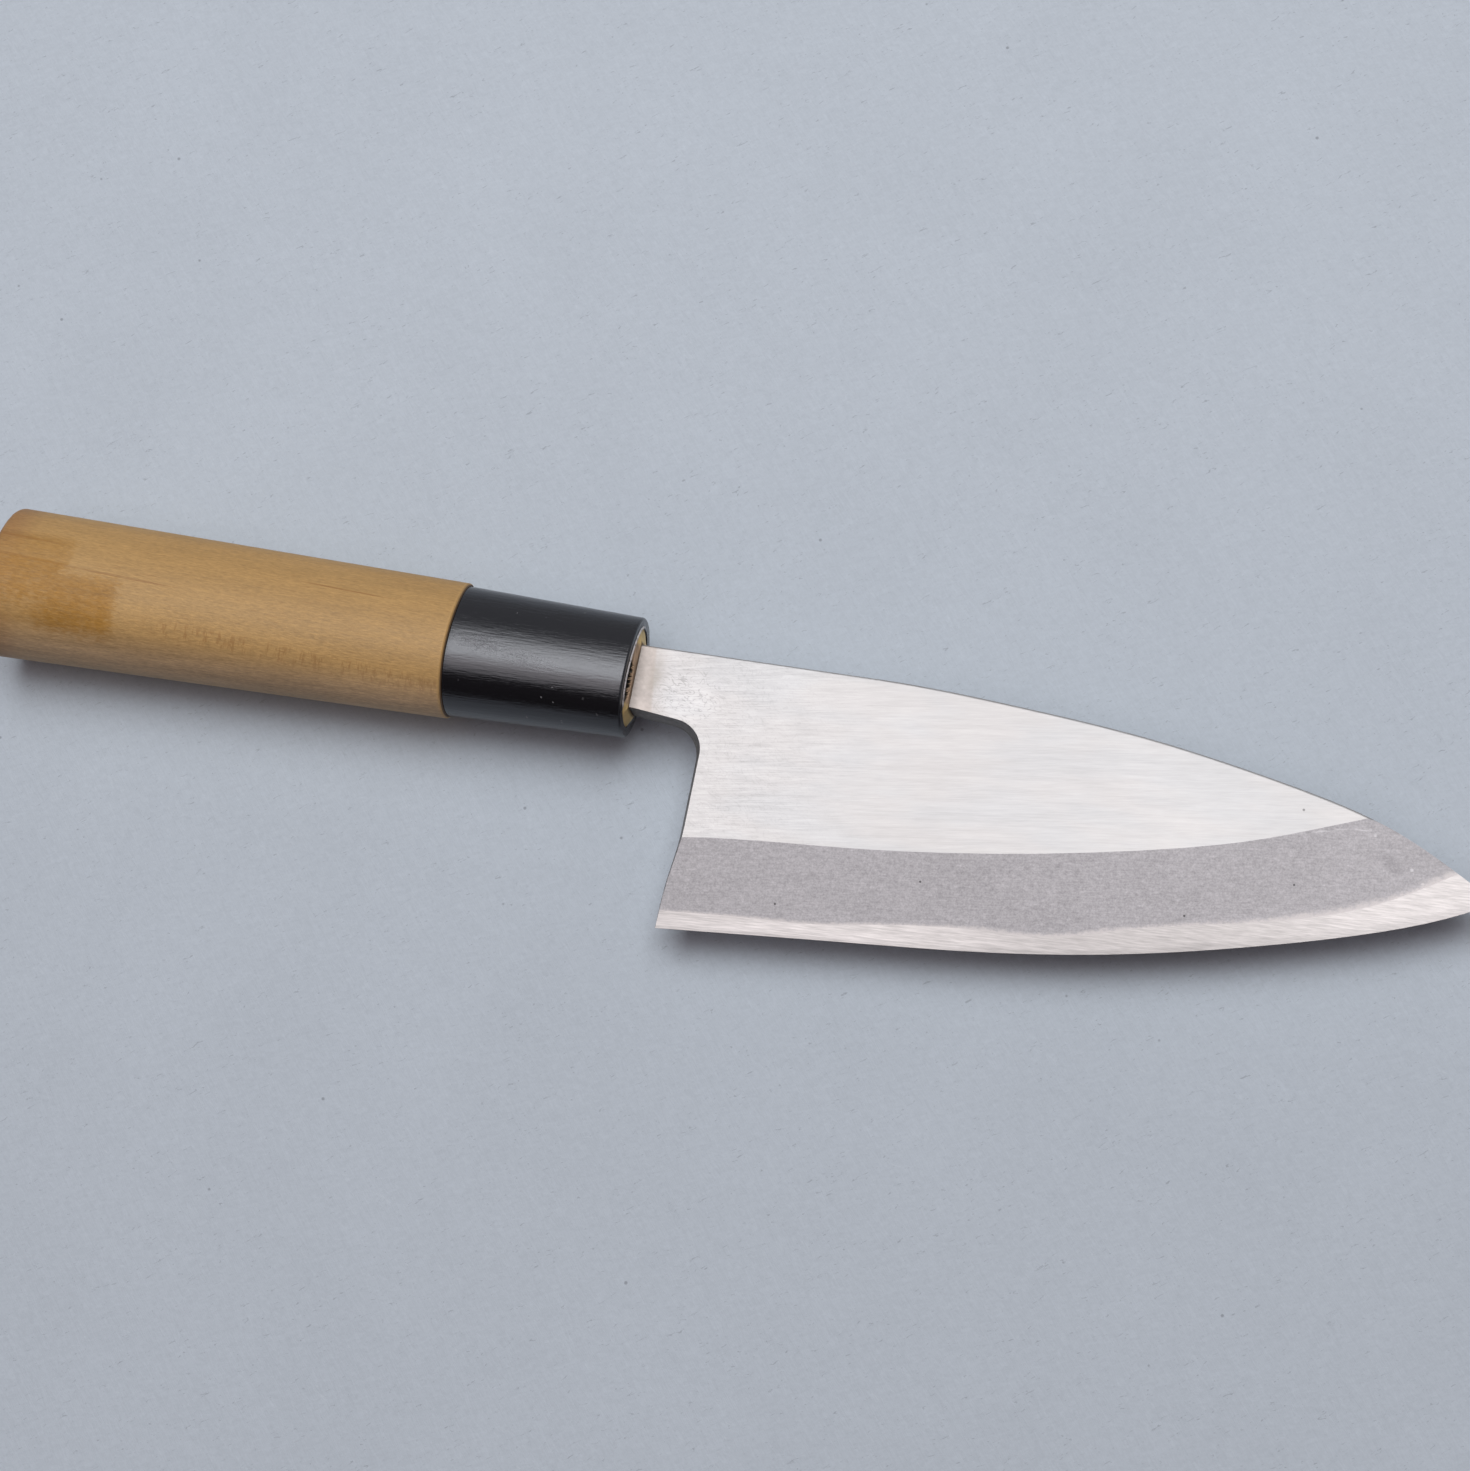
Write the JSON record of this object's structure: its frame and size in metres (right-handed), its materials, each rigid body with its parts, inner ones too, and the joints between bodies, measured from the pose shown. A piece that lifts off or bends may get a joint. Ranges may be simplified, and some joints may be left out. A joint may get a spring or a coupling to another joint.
{
  "type": "deba knife",
  "caption": "Heavy single-bevel fish knife with a tapered steel blade, a round notch before the heel, a pale wooden handle of soft D section and a gloss black ferrule",
  "frame": {"origin": "on the blade's flat back, on the handle's axis, where the hard steel starts on the neck, 1 mm ahead of the ferrule", "axes": "+X runs along the handle to the blade's tip, -Y is the cutting edge's side, +Z is the ground side with the bevel"},
  "size_m": [0.2896, 0.0608, 0.026],
  "materials": {
    "soft_iron": "satin flat with fine lengthwise lines, blasted grey bevel",
    "hard_steel": "fine ground, brighter than the iron",
    "black_ferrule": "smooth gloss black",
    "pale_wood": "bare sanded wood with fine lengthwise grain"
  },
  "bodies": {
    "root": {"blade_cladding": "soft_iron", "hard_steel_layer": "hard_steel", "ferrule": "black_ferrule", "handle": "pale_wood"}
  },
  "joints": []
}
